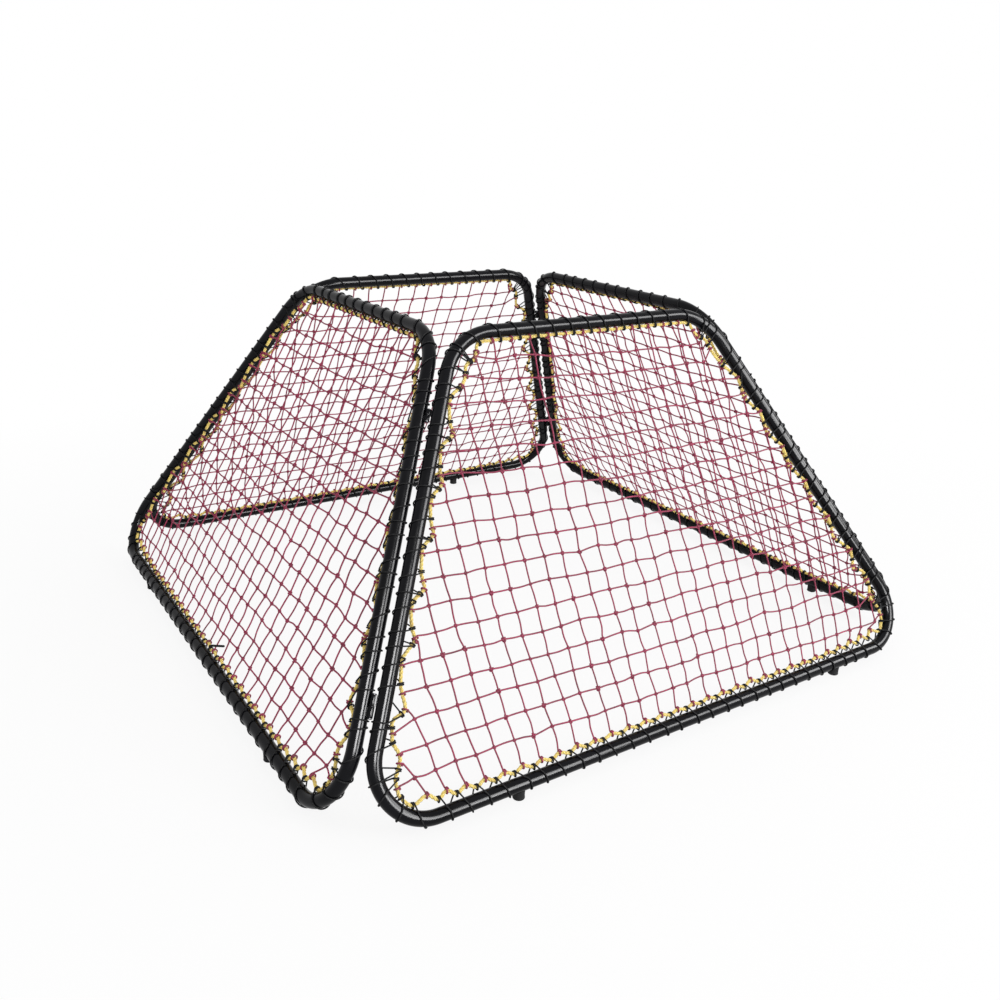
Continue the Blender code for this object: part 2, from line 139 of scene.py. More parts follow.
# The rope's points at a bottom corner: inwards from the corner of the centrelines, up the slope, the
# row or column that ends there, and whether a turn of the lacing holds it.
CORNER_ROPE = ((0.1129, 0.0321, None, True), (0.0944, 0.0523, None, True),
               (0.0919, 0.0689, ("row", 0), False), (0.0935, 0.0860, None, True),
               (0.1066, 0.1076, ("column", 14.5), True),
               (0.1103, 0.1234, ("row", 1), False), (0.1025, 0.1470, None, True),
               (0.1066, 0.1610, ("row", 2), False), (0.1073, 0.1721, None, True),
               (0.1150, 0.1840, None, False), (0.1395, 0.1942, ("column", 13.5), True))
# The same at a top corner, from the middle of the panel
TOP_ROPE = ((0.3318, 0.7791, ("row", 15), True), (0.3262, 0.7980, None, False),
            (0.3150, 0.8078, None, True), (0.3030, 0.8110, ("row", 16), True),
            (0.2940, 0.8265, ("high", 6.5), False), (0.2834, 0.8455, None, True))

# The lacing
LACE_RADIUS = 0.0015
AROUND_TUBE = TUBE_RADIUS + LACE_RADIUS + TOUCH
AROUND_ROPE = ROPE_RADIUS + LACE_RADIUS + TOUCH
LEG_SPREAD = 0.013  # of a tie's two legs along the tube, each from the tie
LEG_LIMIT = 0.34  # at most, as a share of the way to the next tie
LEG_CHANCE = (0.5, 1.1)  # shares of the spread between which a leg is
TIE_SPACING = 0.0078  # between a tie of the lacing and one of the netting
FOOT_ROOM = 2 * LACE_RADIUS  # beside a foot, clear of the lacing's centre
HINGE_ROOM = 3 * LACE_RADIUS
LOOSE_END = {"left": ((0.0435, 0.0262, 0.004), (0.0509, 0.0321, 0.008), (0.0744, 0.0435, 0.0065),
                      (0.1001, 0.0558, 0.003))}  # the one end of the lacing that sticks out
LOOSE_END_RADIUS = 0.0026  # thicker, as if doubled and taped


# Meshes made from paths
class Skin:
    """Gathers tubes and small shells into one mesh, with a map of length along and share round."""

    def __init__(self):
        self.points = []
        self.corners = []
        self.counts = []
        self.maps = []
        self.size = 0

    def add(self, points, *groups):
        """Points, and groups of faces between them, each with its map."""
        for faces, maps in groups:
            self.corners.append((faces + self.size).ravel())
            self.counts.append(np.full(len(faces), faces.shape[1]))
            self.maps.append(maps.reshape(-1, 2))
        self.points.append(points)
        self.size += len(points)

    def wrap(self, rings, length, closed=False):
        """Faces between rings of points that follow each other; open ends are filled."""
        count, sides = rings.shape[:2]
        spans = count if closed else count - 1
        first = np.arange(spans)[:, None] * sides
        second = (np.arange(1, spans + 1) % count)[:, None] * sides
        here = np.arange(sides)[None, :]
        there = (here + 1) % sides
        faces = np.stack([first + here, first + there, second + there, second + here], -1).reshape(-1, 4)
        low, high, left = np.broadcast_arrays(length[:spans, None], length[1:spans + 1, None], here / sides)
        right = left + 1 / sides
        maps = np.stack([low, left, low, right, high, right, high, left], -1)
        groups = [(faces, maps)]
        if not closed:
            ends = np.array([np.arange(sides)[::-1], np.arange(sides) + (count - 1) * sides])
            groups.append((ends, np.full((2, sides, 2), length[0])))
        self.add(rings.reshape(-1, 3), *groups)

    def mesh(self, name):
        points = np.concatenate(self.points).astype(np.float32)
        corners = np.concatenate(self.corners).astype(np.int32)
        counts = np.concatenate(self.counts).astype(np.int32)
        made = bpy.data.meshes.new(name)
        made.vertices.add(len(points))
        made.vertices.foreach_set("co", points.ravel())
        made.loops.add(len(corners))
        made.loops.foreach_set("vertex_index", corners)
        made.polygons.add(len(counts))
        starts = np.concatenate(([0], np.cumsum(counts)[:-1])).astype(np.int32)
        made.polygons.foreach_set("loop_start", starts)
        made.polygons.foreach_set("use_smooth", np.ones(len(counts), bool))
        layer = made.uv_layers.new(name="Along")
        layer.data.foreach_set("uv", np.concatenate(self.maps).astype(np.float32).ravel())
        made.update(calc_edges=True)
        made.validate()
        return made


STEEP = 0.1  # a path this near the vertical, as a sine, needs another first side direction


def unit(vectors):
    return vectors / norm(vectors, axis=-1, keepdims=True)


def tangents(path, closed):
    if closed:
        return unit(np.roll(path, -1, axis=0) - np.roll(path, 1, axis=0))
    return unit(np.gradient(path, axis=0))


def stations(path):
    """How far along the path each of its points is."""
    return np.concatenate(([0.0], np.cumsum(norm(np.diff(path, axis=0), axis=1))))


def looped(path):
    """The path with its first point once more at its end."""
    return np.concatenate([path, path[:1]])


def carried_frames(along):
    """Side and up directions that turn as little as they can."""
    side = np.cross(along[0], (0.0, 0.0, 1.0))
    if norm(side) < STEEP:
        side = np.cross(along[0], (0.0, 1.0, 0.0))
    sides = []
    for heading in along:
        side = side - heading * (side @ heading)
        side = side / sqrt(side @ side)
        sides.append(side)
    return np.array(sides), np.cross(along, sides)


def flat_frames(along):
    """Side and up directions for a path that lies near the panel's plane."""
    sides = unit(np.cross((0.0, 0.0, 1.0), along))
    return sides, np.cross(along, sides)


def sweep(skin, path, radius, sides, closed=False, flat=True, offset=0.0):
    """A round tube along a path."""
    along = tangents(path, closed)
    across, up = flat_frames(along) if flat else carried_frames(along)
    angles = np.arange(sides) * tau / sides
    ring = across[:, None] * np.cos(angles)[None, :, None] + up[:, None] * np.sin(angles)[None, :, None]
    radii = np.broadcast_to(radius, len(path))[:, None, None]
    length = stations(looped(path) if closed else path) + offset
    skin.wrap(path[:, None] + ring * radii, length, closed)


def spline(points, steps, closed=False):
    """A smooth line through the points, with that many steps between each two."""
    points = np.asarray(points, float)
    count = len(points)
    places = [np.arange(count if closed else count - 1) + shift for shift in (-1, 0, 1, 2)]
    places = [place % count if closed else place.clip(0, count - 1) for place in places]
    before, here, there, after = (points[place][:, None] for place in places)
    share = (np.arange(steps) / steps)[None, :, None]
    line = 0.5 * (2 * here + (there - before) * share
                  + (2 * before - 5 * here + 4 * there - after) * share ** 2
                  + (3 * here - before - 3 * there + after) * share ** 3)
    line = line.reshape(-1, points.shape[1])
    return line if closed else np.concatenate([line, points[-1:]])


def evenly(loop, spacing):
    """The same closed line with points at an even spacing."""
    line = looped(loop)
    length = stations(line)
    count = int(round(length[-1] / spacing))
    where = np.linspace(0.0, length[-1], count + 1)[:-1]
    return np.stack([np.interp(where, length, line[:, axis]) for axis in range(line.shape[1])], -1)


def filled(path, longest):
    """The path with points added where two stand further apart than the longest step."""
    kept = [path[0]]
    for here, there in zip(path[:-1], path[1:]):
        steps = int(norm(there - here) / longest) + 1
        for step in range(1, steps + 1):
            kept.append(here + (there - here) * step / steps)
    return np.array(kept)


# The panel, in its own plane: u along the bottom tube, v up the slope, and the outward normal
RAIL_BEND_STEPS = 80
RAIL_SPACING = 0.002
RAIL_SKIP = 4  # every fourth point is near enough to keep the rope off the tube


def placed(index, where, *axes):
    """A place at the front, with its own axes, turned to the panel or corner of that number."""
    turn = Matrix.Rotation(index * pi / 2, 4, "Z")
    basis = Matrix(axes).transposed().to_4x4() if axes else Matrix()
    return turn @ Matrix.Translation(where) @ basis


def panel_matrix(index):
    across = Vector((1.0, 0.0, 0.0))
    upwards = Vector((0.0, sin(LEAN), cos(LEAN)))
    return placed(index, (0.0, -HALF_SQUARE, AXIS_HEIGHT), across, upwards, across.cross(upwards))


def rail_points(bend_steps, spacing):
    """The tube's centreline, anticlockwise from the left end of the bottom straight."""
    slope = SIDE_SLOPE
    low = BASE_WIDTH / 2 - BOTTOM_BEND_RADIUS * (1 + sin(slope)) / cos(slope)
    high = TOP_WIDTH / 2 - TOP_BEND_RADIUS * (1 - sin(slope)) / cos(slope)
    top = PANEL_SLANT - TOP_BEND_RADIUS
    bends = [((low, BOTTOM_BEND_RADIUS), BOTTOM_BEND_RADIUS, -pi / 2, slope),
             ((high, top), TOP_BEND_RADIUS, slope, pi / 2),
             ((-high, top), TOP_BEND_RADIUS, pi / 2, pi - slope),
             ((-low, BOTTOM_BEND_RADIUS), BOTTOM_BEND_RADIUS, pi - slope, 3 * pi / 2)]
    line = []
    last = np.array((-low, 0.0))
    for centre, radius, first, end in bends:
        angles = np.linspace(first, end, bend_steps + 1)
        arc = np.array(centre) + radius * np.stack([np.cos(angles), np.sin(angles)], -1)
        steps = max(1, int(norm(arc[0] - last) / spacing))
        line.append(last + (arc[0] - last) * (np.arange(1, steps) / steps)[:, None])
        line.append(arc)
        last = arc[-1]
    return np.concatenate(line)


RAIL = rail_points(RAIL_BEND_STEPS, RAIL_SPACING)
RAIL_LOOP = looped(RAIL)
RAIL_STATION = stations(RAIL_LOOP)
RAIL_LENGTH = RAIL_STATION[-1]
HEADING_LOOP = looped(tangents(RAIL, True))


def rail_at(station):
    """Point of the centreline and the direction inwards from it."""
    where = station % RAIL_LENGTH
    place = np.array([np.interp(where, RAIL_STATION, RAIL_LOOP[:, axis]) for axis in (0, 1)])
    heading = unit(np.array([np.interp(where, RAIL_STATION, HEADING_LOOP[:, axis]) for axis in (0, 1)]))
    return place, np.array((-heading[1], heading[0]))


def rail_station(point):
    return RAIL_STATION[np.argmin(norm(RAIL - point, axis=1))]


def off_the_tube(line, least):
    """Moves what lies too near the tube inwards, to the least distance from its centreline."""
    coarse = RAIL[::RAIL_SKIP]
    apart = norm(line[:, None] - coarse[None], axis=-1)
    nearest = coarse[apart.argmin(1)]
    reach = apart.min(1)
    close = reach < least
    line[close] = nearest[close] + (line[close] - nearest[close]) / reach[close, None] * least
    return line


# The net's grid
def side_at(height):
    """Half the panel's width between the side tubes' centrelines."""
    return BASE_WIDTH / 2 - height * (BASE_WIDTH - TOP_WIDTH) / (2 * PANEL_SLANT)


def outer_column(row):
    """How many columns a row crosses on each side of the middle."""
    return max(COLUMNS - (row + 1) // 2, TOP_COLUMNS)


def columns_of(row):
    """The columns that a row crosses; they count 0.5, 1.5 and so on from the middle, with a sign."""
    count = outer_column(row)
    return [column + 0.5 for column in range(-count, count)]


def column_across(row, column):
    """How far from the middle a column stands."""
    pitch = COLUMN_PITCH - BOTTOM_NARROWING * exp(-row / NARROWING_ROWS)
    pitch -= OUTER_NARROWING * column ** 2 + UPPER_NARROWING * row
    return pitch * column


def row_height(side, row, across):
    tilt = SKEW[side][0] + SKEW[side][1] * row
    curve = ROW_CURVE[0] + ROW_CURVE[1] * row
    return FIRST_ROW + row * ROW_PITCH + tilt * across + curve * across ** 2


def knot_places(side, chance):
    """Where each row crosses each column, with the slack that a hand-tied net has."""
    waves = chance.normal(0.0, 1.0, (ROWS, 4))
    places = {}
    for row in range(ROWS):
        long_size, long_start, short_size, short_start = waves[row]
        for column in columns_of(row):
            across = column_across(row, column)
            height = row_height(side, row, across)
            share = across / side_at(height)
            wave = long_size * sin(LONG_WAVE * share + long_start)
            wave += short_size * sin(SHORT_WAVE * share + short_start)
            slack = chance.normal(0.0, 1.0, 3) * KNOT_SLACK
            belly = BELLY * (1 - share ** 2) * sin(pi * height / PANEL_SLANT)
            if column == outer_column(row) - 0.5:
                across += OUTER_PULL
            height += WAVE * wave
            places[row, column] = np.array((across + slack[0], height + slack[1], slack[2] - belly))
    return places


class Rope:
    """The points of the rope at the net's edge, with what ends on each and which are laced."""

    def __init__(self):
        self.points = []
        self.strands = {}
        self.laced = []

    def add(self, across, height, strand=None, tied=False):
        if strand is not None:
            self.strands[strand] = len(self.points)
        if tied:
            self.laced.append(len(self.points))
        self.points.append((across, height))

    def append(self, other, reverse):
        """Adds another stretch, from its far end if asked."""
        base, last = len(self.points), len(other.points) - 1

        def moved(index):
            return base + (last - index if reverse else index)

        self.points += other.points[::-1] if reverse else other.points
        self.strands.update({strand: moved(index) for strand, index in other.strands.items()})
        self.laced += sorted(moved(index) for index in other.laced)


def bottom_rope(rope, chance):
    """The rope over the bottom tube, from left to right, with a valley between each two columns."""
    count = outer_column(0)
    for column in columns_of(0):
        share = abs(column) / (count - 0.5)
        draw = BOTTOM_DRAW * share ** 3
        here = column_across(0, column)
        rise = CORNER_RISE * (max(0.0, share - CORNER_START) / (1 - CORNER_START)) ** 2
        height = ROPE_PEAK + rise + chance.normal(0.0, PEAK_SLACK)
        rope.add(here - (draw if here > 0 else -draw), height, ("low", column))
        if column < count - 0.5:
            following = column_across(0, column + 1)
            place = (here + following) / 2 * (1 - BETWEEN_DRAW * draw / abs(following))
            rope.add(place + chance.normal(0.0, VALLEY_SLACK), ROPE_VALLEY + VALLEY_RISE * rise, tied=True)


def held(strand, sign):
    """The key of a strand's end on one side: a row's side, or a column's number with its sign."""
    if strand is None:
        return None
    kind, number = strand
    return (kind, (number, sign)) if kind == "row" else (kind, sign * number)


def side_rope(sign, knots, chance):
    """The rope up one side, in steps two rows high."""
    rope = Rope()
    for inward, height, strand, tied in CORNER_ROPE:
        rope.add(sign * (BASE_WIDTH / 2 - inward), height, held(strand, sign), tied)
    corner = rope.points[-1][0]
    step = STEPS[sign]
    for row in range(FIRST_STEP, ROWS - 2, 2):
        height = knots[row, sign * (outer_column(row) - 0.5)][1]
        rope.add(corner - sign * ROW_INSET, height + step.row_lift * ROW_PITCH, ("row", (row, sign)))
        place = height + LOWER_TIE * ROW_PITCH
        rope.add((sign * (side_at(place) - LOWER_TIE_INSET) + corner) / 2, place, tied=True)
        last = knots[row + 1, sign * (outer_column(row + 1) - 0.5)]
        height = last[1]
        near = sign * (side_at(height) - SIDE_NEAR - chance.uniform(0.0, NEAR_SLACK))
        rope.add(near, height, ("row", (row + 1, sign)))
        place = height + ROW_PITCH * (step.tie_height + chance.uniform(-TIE_SHIFT, TIE_SHIFT))
        near = sign * (side_at(place) - SIDE_NEAR - chance.uniform(0.0, TIE_SLACK))
        corner = last[0] + sign * step.outside
        rope.add(near + (corner - near) * step.tie_share, place, tied=True)
        shift = chance.uniform(-END_SHIFT, END_SHIFT) * (1 - step.tie_share)
        height += ROW_PITCH * (step.end_height + shift)
        rope.add(corner, height, held(("column", outer_column(row + 1) - 0.5), sign), True)
    for across, height, strand, tied in TOP_ROPE:
        rope.add(sign * across, height, held(strand, sign), tied)
    return rope


def top_rope(rope, chance):
    """The rope under the top tube, from right to left."""
    for column in range(TOP_COLUMNS - 2, -TOP_COLUMNS, -1):
        across = column_across(ROWS, column + 0.5)
        sag = TOP_PEAK + abs(chance.normal(0.0, TOP_PEAK_SLACK))
        rope.add(across, PANEL_SLANT - sag, ("high", column + 0.5))
        if column > 1 - TOP_COLUMNS:
            between = (across + column_across(ROWS, column - 0.5)) / 2
            rope.add(between + chance.normal(0.0, TOP_VALLEY_SLACK), PANEL_SLANT - TOP_VALLEY, tied=True)


def edge_rope(knots, chance):
    """The rope all round, anticlockwise."""
    rope = Rope()
    bottom_rope(rope, chance)
    rope.append(side_rope(1, knots, chance), False)
    top_rope(rope, chance)
    rope.append(side_rope(-1, knots, chance), True)
    return np.array(rope.points), rope.strands, rope.laced


# The netting's twine, its ends round the rope and its knots
ROPE_STEPS = 8  # of the rope between two of its points
COIL_STEPS = 14  # of a strand in one turn round the rope
END_TURNS = 1.2  # of the twine's end round the rope
END_PITCH = 2.1 * TWINE_RADIUS
END_SWING = 0.6  # radians, at most, by which an end starts off the inside
STRAND_SLACK = 0.0009  # by chance, half-way between two knots
STRAND_STEPS = 3  # between a knot and the point half-way to the next
TWINE_SIDES = 6
KNOT_SIZE = 0.0033
KNOT_DEPTH = 0.55  # share of its size by which its line swings up and down
KNOT_STEPS = 24
KNOT_TWINE = 0.95 * TWINE_RADIUS
KNOT_SIZES = (0.85, 1.05)
KNOT_STRETCH = (0.85, 1.15)
BIG_KNOT = 1.3  # times the size of the others
BIG_KNOTS = 0.35  # share of the knots that are big
PATTERN_SPREAD = 50.0  # metres within which each strand's pattern of colour starts by chance


def coil(place, heading, radius, start, turns, pitch):
    """Turns round the rope at a place, from a start angle; angle 0 points to the panel's inside."""
    steps = int(turns * COIL_STEPS)
    angles = start + np.linspace(0.0, turns * tau, steps + 1)
    inwards = np.array((-heading[1], heading[0], 0.0))
    forwards = np.array((*heading, 0.0))
    shift = np.linspace(-0.5, 0.5, steps + 1) * turns * pitch
    line = np.outer(np.cos(angles), inwards) * radius + np.outer(shift, forwards)
    line[:, 2] += np.sin(angles) * radius
    line[:, :2] += place
    return line


def net_mesh(name, knots, rope, strands, chance):
    """Every strand of the netting, its ends round the rope, and its knots."""
    skin = Skin()
    headings = tangents(rope, True)

    def end_coil(key):
        index = strands[key] * ROPE_STEPS % len(rope)
        start = chance.uniform(-END_SWING, END_SWING)
        return coil(rope[index], headings[index], ROPE_RADIUS + TWINE_RADIUS, start, END_TURNS, END_PITCH)

    def strand(inner, first, last):
        ends = [end_coil(first), end_coil(last)]
        slack = [ends[0][0]]
        for point in inner + [ends[1][0]]:
            slack.append((slack[-1] + point) / 2 + chance.normal(0.0, STRAND_SLACK, 3))
            slack.append(point)
        middle = spline(slack, STRAND_STEPS)
        path = np.concatenate([ends[0][::-1], middle[1:-1], ends[1]])
        sweep(skin, path, TWINE_RADIUS, TWINE_SIDES, flat=False, offset=chance.uniform(0.0, PATTERN_SPREAD))

    for row in range(ROWS):
        line = [knots[row, column] for column in columns_of(row)]
        strand(line, ("row", (row, -1)), ("row", (row, 1)))
    for column in columns_of(0):
        line = [knots[row, column] for row in range(ROWS) if (row, column) in knots]
        last = ("high", column) if abs(column) < TOP_COLUMNS else ("column", column)
        strand(line, ("low", column), last)
    add_knots(skin, list(knots.values()), chance)
    return skin.mesh(name)


def add_knots(skin, places, chance):
    """A small knot at each crossing: a tube along a threefold knotted line."""
    turn = np.arange(KNOT_STEPS) * tau / KNOT_STEPS
    line = np.stack([(np.sin(turn) + 2 * np.sin(2 * turn)) / 3, (np.cos(turn) - 2 * np.cos(2 * turn)) / 3,
                     -KNOT_DEPTH * np.sin(3 * turn)], -1) * KNOT_SIZE
    for place in places:
        angle = chance.uniform(0.0, tau)
        size = chance.uniform(*KNOT_SIZES) * (BIG_KNOT if chance.random() < BIG_KNOTS else 1.0)
        stretch = chance.uniform(*KNOT_STRETCH)
        spun = np.stack([line[:, 0] * cos(angle) - line[:, 1] * sin(angle),
                         (line[:, 0] * sin(angle) + line[:, 1] * cos(angle)) * stretch, line[:, 2]], -1)
        sweep(skin, place + spun * size, KNOT_TWINE, TWINE_SIDES, closed=True, flat=False,
              offset=chance.uniform(0.0, PATTERN_SPREAD))


# The rope's three strands
STRANDS = 3
STRAND_RADIUS = ROPE_RADIUS / (1 + 2 / sqrt(3))  # of three that touch each other within the rope
SWELLED = 1.06 * STRAND_RADIUS  # so that they press on each other
STRAND_SIDES = 7
STRAND_SPACING = 0.0024  # between the points along it
STRAND_OFFSET = 7.0  # metres between the strands' places in the pattern of colour


def rope_mesh(name, rope):
    """Three strands laid round each other."""
    skin = Skin()
    centre = evenly(np.column_stack([rope, np.zeros(len(rope))]), STRAND_SPACING)
    across, up = flat_frames(tangents(centre, True))
    length = stations(looped(centre))
    turns = round(length[-1] / ROPE_LAY)
    for strand in range(STRANDS):
        angles = (length[:-1] / length[-1] * turns + strand / STRANDS) * tau
        around = across * np.cos(angles)[:, None] + up * np.sin(angles)[:, None]
        sweep(skin, centre + around * (ROPE_RADIUS - STRAND_RADIUS), SWELLED, STRAND_SIDES, closed=True,
              offset=strand * STRAND_OFFSET)
    return skin.mesh(name)


# The lacing's turns and ties
TURN_STEPS = 24  # of the lacing round the tube
TIE_PITCH = 2.05 * LACE_RADIUS
LONGEST_STEP = 0.012
LACE_SIDES = 8
STEEPEST = 0.98  # limit of a cosine where the rope nearly touches the tube
LOOSE_END_STEPS = 8
LOOSE_END_SIDES = 10


def kept_clear(side):
    """Stretches of the tube that the lacing can't cross: the feet and the hinges."""
    zones = [(rail_station((across, 0.0)), FOOT_RADIUS + FOOT_ROOM) for across in FEET[side]]
    for sign in (1, -1):
        for _, up, half in LEVELS:
            place = (sign * (BASE_WIDTH / 2 - up * sin(SIDE_SLOPE)), up * cos(SIDE_SLOPE))
            zones.append((rail_station(place), half + HINGE_ROOM))
    return zones


def free_stretch(front, back, zones):
    """Moves a turn of the lacing that would lie on a foot or a hinge off it, to the nearer side."""
    for middle, half in zones:
        if max(front, back) > middle - half and min(front, back) < middle + half:
            if (front + back) / 2 < middle:
                return min(front, middle - half), min(back, middle - half)
            return max(front, middle + half), max(back, middle + half)
    return front, back


def belt_angle(apart):
    """Where a line that touches the tube's turn and the rope's turn leaves each of them."""
    return acos(min(STEEPEST, (AROUND_TUBE - AROUND_ROPE) / apart))


def beside(rope, index, apart):
    """A point of the rope that far from another, on the side that is nearer the tube."""
    found = []
    for step in (1, -1):
        other = index
        while norm(rope[other] - rope[index]) < apart:
            other = (other + step) % len(rope)
        found.append(other)
    return min(found, key=lambda other: norm(RAIL - rope[other], axis=1).min())


def tie_places(rope, laced, taken):
    """Where the lacing ties round the rope, beside the netting's ties, in their order along the tube."""
    headings = tangents(rope, True)
    ties = []
    for point in laced:
        index = point * ROPE_STEPS % len(rope)
        if point in taken:
            index = beside(rope, index, TIE_SPACING)
        ties.append((rope[index], headings[index], rail_station(rope[index])))
    return sorted(ties, key=lambda tie: tie[2])


def tube_turn(leave, front, back):
    """The lacing's way round the tube, between two stations of its centreline."""
    turn = []
    angles = np.linspace(leave, tau - leave, TURN_STEPS)
    for angle, station in zip(angles, np.linspace(front, back, TURN_STEPS)):
        centre, inwards = rail_at(station)
        flat = centre + inwards * cos(angle) * AROUND_TUBE
        turn.append((flat[0], flat[1], sin(angle) * AROUND_TUBE))
    return np.array(turn)


def lace_mesh(name, rope, laced, taken, side, chance):
    """One cord that ties round the rope, runs to the tube, round it and on to the next tie."""
    zones = kept_clear(side)
    ties = tie_places(rope, laced, taken)
    path = []
    for index, (place, heading, station) in enumerate(ties):
        following = ties[(index + 1) % len(ties)][2]
        if following < station:
            following += RAIL_LENGTH
        spread = min(LEG_SPREAD, LEG_LIMIT * (following - station))
        front, back = free_stretch(station + spread * chance.uniform(*LEG_CHANCE),
                                   following - spread * chance.uniform(*LEG_CHANCE), zones)
        leave = belt_angle(norm(place - rail_at(station)[0]))
        path.append(coil(place, heading, AROUND_ROPE, -leave, 1 + leave / pi, TIE_PITCH))
        path.append(tube_turn(leave, front, back))
    skin = Skin()
    sweep(skin, filled(np.concatenate(path), LONGEST_STEP), LACE_RADIUS, LACE_SIDES, flat=False)
    if side in LOOSE_END:
        end = spline(LOOSE_END[side], LOOSE_END_STEPS)
        sweep(skin, end, LOOSE_END_RADIUS, LOOSE_END_SIDES, flat=False)
    return skin.mesh(name)


# The steel and the feet
TUBE_SIDES = 48
TUBE_BEND_STEPS = 28
TUBE_STEP = 0.05  # along a straight
SHARPEST = radians(38.0)  # an edge with more than this between its faces isn't shaded round
ROUNDED = ((1.0, 0.0), (0.6, 0.1), (0.3, 0.3), (0.1, 0.6), (0.0, 1.0))  # an edge, as shares of its radius
FOOT_SIDES = 40
FOOT_RIM = 0.0020  # rounding of the sole's rim
FOOT_WAIST = FOOT_RADIUS - 0.0005
FOOT_TAPER = 2.2  # heights of the rim at which the waist begins
FOOT_LIP = (-0.0030, -0.0024, -0.0006)  # its heights, from the seat on the tube: waist, and both edges
BARREL_SIDES = 44
BARREL_EDGE = 0.0007  # rounding of the knuckle's edges
BEAD_RADIUS = 0.0013  # of the weld between a knuckle and its tube
BEAD_STEP = 0.0005
BEAD_SIDES = 12
BEAD_TIP = 0.08  # least share of its section, at its ends
RIPPLE = 0.07  # swelling of the bead with each drop of the weld
RIPPLE_LENGTH = 0.0017
PIN_SIDES = 36
HEAD_GAP = 1.5 * SEAT  # under the head, and half of the gap between the two knuckles
HEAD_SLANT = 0.0001  # of the head's underside
DOME = ((1.0, 0.55), (0.94, 0.30), (0.75, 0.12), (0.40, 0.0))  # shares of the head's radius and thickness


def tube_mesh(name):
    skin = Skin()
    line = rail_points(TUBE_BEND_STEPS, TUBE_STEP)
    sweep(skin, np.column_stack([line, np.zeros(len(line))]), TUBE_RADIUS, TUBE_SIDES, closed=True)
    return skin.mesh(name)


def turned(profile, sides):
    """Rings of a solid turned about the z axis, from the radii and heights of its outline, lowest first."""
    angles = np.arange(sides) * tau / sides
    flat = np.stack([np.cos(angles), np.sin(angles), np.zeros(sides)], -1)
    return np.array([radius * flat + (0.0, 0.0, height) for radius, height in profile])


def edged(skin, name):
    """The mesh with its edges kept sharp where it isn't rounded."""
    made = skin.mesh(name)
    made.set_sharp_from_angle(angle=SHARPEST)
    return made


def foot_mesh(name):
    """A rubber stub from the floor to the tube, with a rounded lower rim and a lip that hugs the tube."""
    sole = -AXIS_HEIGHT
    profile = [(FOOT_RADIUS / 2, sole)]
    profile += [(FOOT_RADIUS - back * FOOT_RIM, sole + up * FOOT_RIM) for back, up in ROUNDED]
    profile.append((FOOT_WAIST, sole + FOOT_TAPER * FOOT_RIM))
    lip_waist, lip_low, lip_high = FOOT_LIP
    lip = [(FOOT_WAIST, lip_waist), (FOOT_RADIUS, lip_low), (FOOT_RADIUS, lip_high), (FOOT_WAIST, 0.0)]
    rings = turned(profile + lip, FOOT_SIDES)
    seat = rings[len(profile):]
    seat[..., 2] -= np.sqrt((TUBE_RADIUS + TOUCH) ** 2 - seat[..., 1] ** 2)
    skin = Skin()
    skin.wrap(rings, stations(rings[:, 0]))
    return edged(skin, name)


def corner_matrix(index):
    """The pins' axis at a corner: z up the edge, x across the gap and y inwards."""
    edge = Vector((sin(LEAN), sin(LEAN), cos(LEAN))).normalized()
    across = Vector((1.0, -1.0, 0.0)).normalized()
    inwards = edge.cross(across)
    reach = -(BASE_WIDTH / 2 + HALF_SQUARE) / 2
    where = Vector((reach, reach, AXIS_HEIGHT)) - inwards * HINGE_OFFSET
    return placed(index, where, across, inwards, edge)


def add_barrel(skin, length, side, hook):
    """The knuckle's ring round the pin, from z = 0 to length; a hook is only the half towards its tube."""
    bore = PIN_RADIUS + SEAT
    bore_edge = BARREL_EDGE / 2
    rim = [(KNUCKLE_RADIUS - back * BARREL_EDGE, up * BARREL_EDGE) for back, up in ROUNDED[::2]]
    section = [(bore, bore_edge), (bore, length - bore_edge), (bore + bore_edge, length)]
    section += [(radius, length - height) for radius, height in rim]
    section += rim[::-1] + [(bore + bore_edge, 0.0)]
    reach, height = np.transpose(section)
    angles = np.arange(BARREL_SIDES) * tau / BARREL_SIDES
    if hook:
        angles = np.linspace(-pi / 2, pi / 2, BARREL_SIDES // 2 + 1) + (0.0 if side > 0 else pi)
    rings = np.stack([np.outer(np.cos(angles), reach), np.outer(np.sin(angles), reach),
                      np.broadcast_to(height, (len(angles), len(section)))], -1)
    skin.wrap(rings, np.arange(len(angles) + 1) * tau / BARREL_SIDES * KNUCKLE_RADIUS, not hook)


def add_web(skin, length, apart, axes):
    """The bar between the barrel and the tube, along the first axis."""
    half = KNUCKLE_WEB / 2
    flank, top = half - BARREL_EDGE, length - BARREL_EDGE
    around = [(-flank, 0.0), (flank, 0.0), (half, BARREL_EDGE), (half, top), (flank, length),
              (-flank, length), (-half, top), (-half, BARREL_EDGE)]
    end = apart - sqrt(TUBE_RADIUS ** 2 - half ** 2)
    bar = np.array([[(far, over, up) for over, up in around] for far in (PIN_RADIUS + SEAT / 2, end)])
    skin.wrap(bar @ axes, np.array((0.0, end)))


def add_welds(skin, length, apart, axes):
    """A rippled bead along either side of the web, where it meets the tube."""
    along = np.linspace(BEAD_RADIUS, length - BEAD_RADIUS, int(length / BEAD_STEP))
    from_end = np.minimum(1.0, np.minimum(along - along[0], along[-1] - along) / BEAD_RADIUS)
    swell = np.sqrt(np.maximum(BEAD_TIP, from_end * (2 - from_end)))
    swell *= 1 + RIPPLE * np.sin(along / RIPPLE_LENGTH * tau)
    aside = KNUCKLE_WEB / 2 + BEAD_RADIUS / 3
    far = apart - sqrt(TUBE_RADIUS ** 2 - aside ** 2) - BEAD_RADIUS / 4
    for over in (aside, -aside):
        path = np.array([(far, over, up) for up in along]) @ axes
        sweep(skin, path, BEAD_RADIUS * swell, BEAD_SIDES, flat=False)


